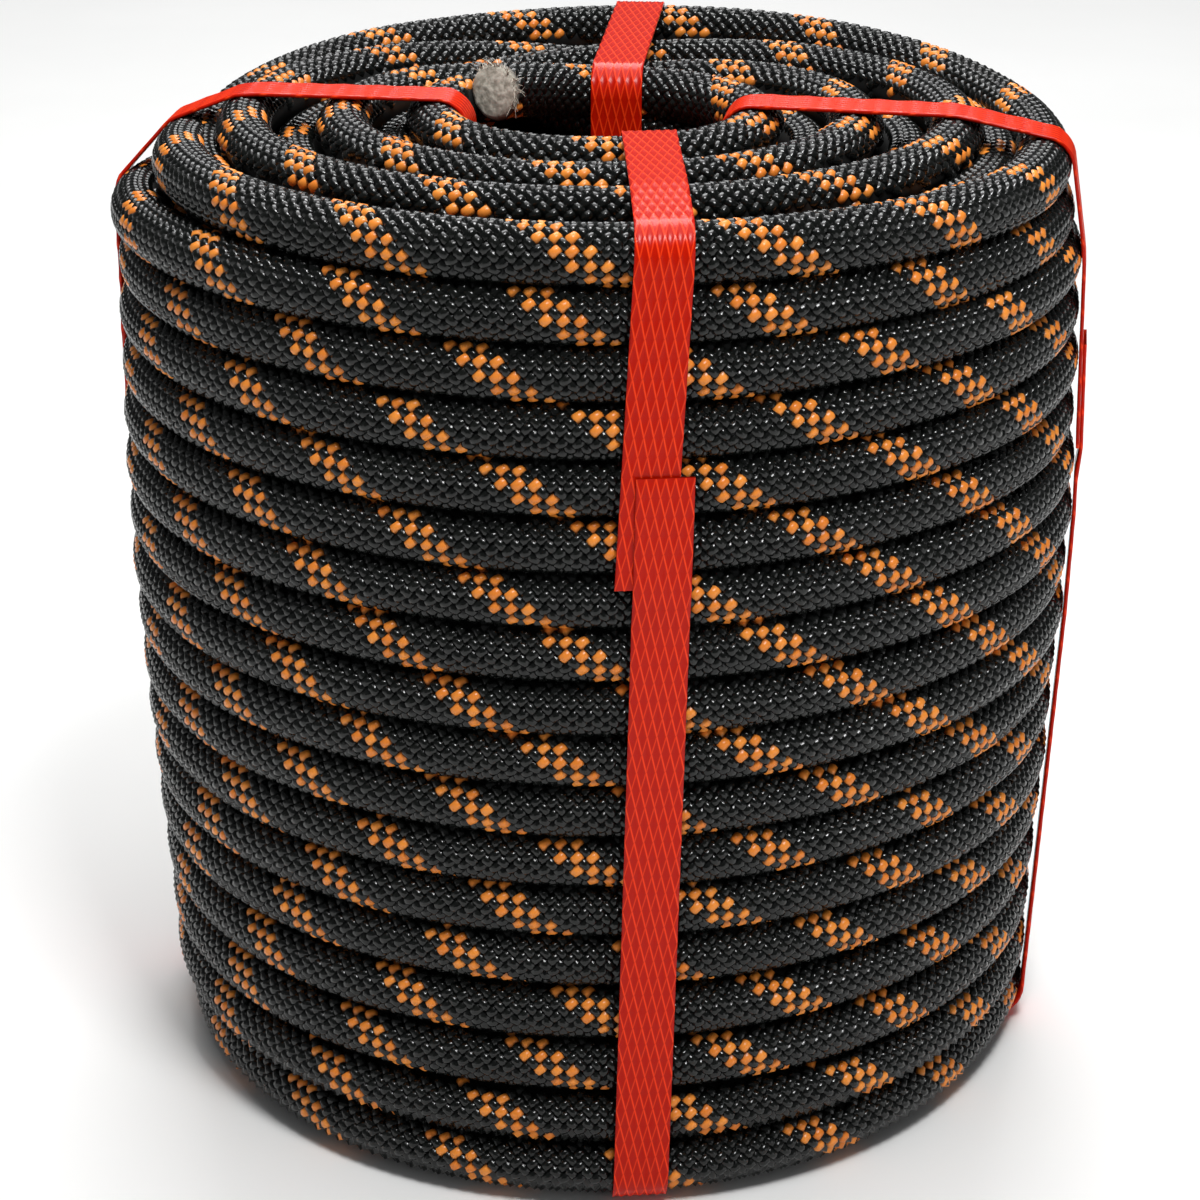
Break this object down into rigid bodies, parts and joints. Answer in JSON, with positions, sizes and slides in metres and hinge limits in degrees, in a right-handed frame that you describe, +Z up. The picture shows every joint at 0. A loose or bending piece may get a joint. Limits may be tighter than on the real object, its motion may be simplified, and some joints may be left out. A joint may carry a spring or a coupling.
{
  "type": "climbing rope coil",
  "caption": "Machine-wound barrel coil of black braided rope with an orange tracer, standing on end and held by four flat embossed straps.",
  "frame": {"origin": "middle of the base, on the surface that the coil stands on", "axes": "+Z up along the coil's axis; the front strap is near -Y and the right strap near +X"},
  "size_m": [0.2352, 0.2351, 0.2347],
  "materials": {
    "rope_sheath": "satin braided filament with an orange tracer",
    "rope_core": "undyed twisted filament",
    "melted_fibre": "melted and set",
    "strapping": "embossed, slightly glossy"
  },
  "bodies": {
    "root": {"rope_coil": "rope_sheath", "inner_end_sheath": "rope_sheath", "inner_end_core": "rope_core", "inner_end_cap": "melted_fibre", "outer_end_sheath": "rope_sheath", "outer_end_core": "rope_core", "outer_end_cap": "melted_fibre", "strap_front": "strapping", "strap_right": "strapping", "strap_back": "strapping", "strap_left": "strapping"}
  },
  "joints": []
}
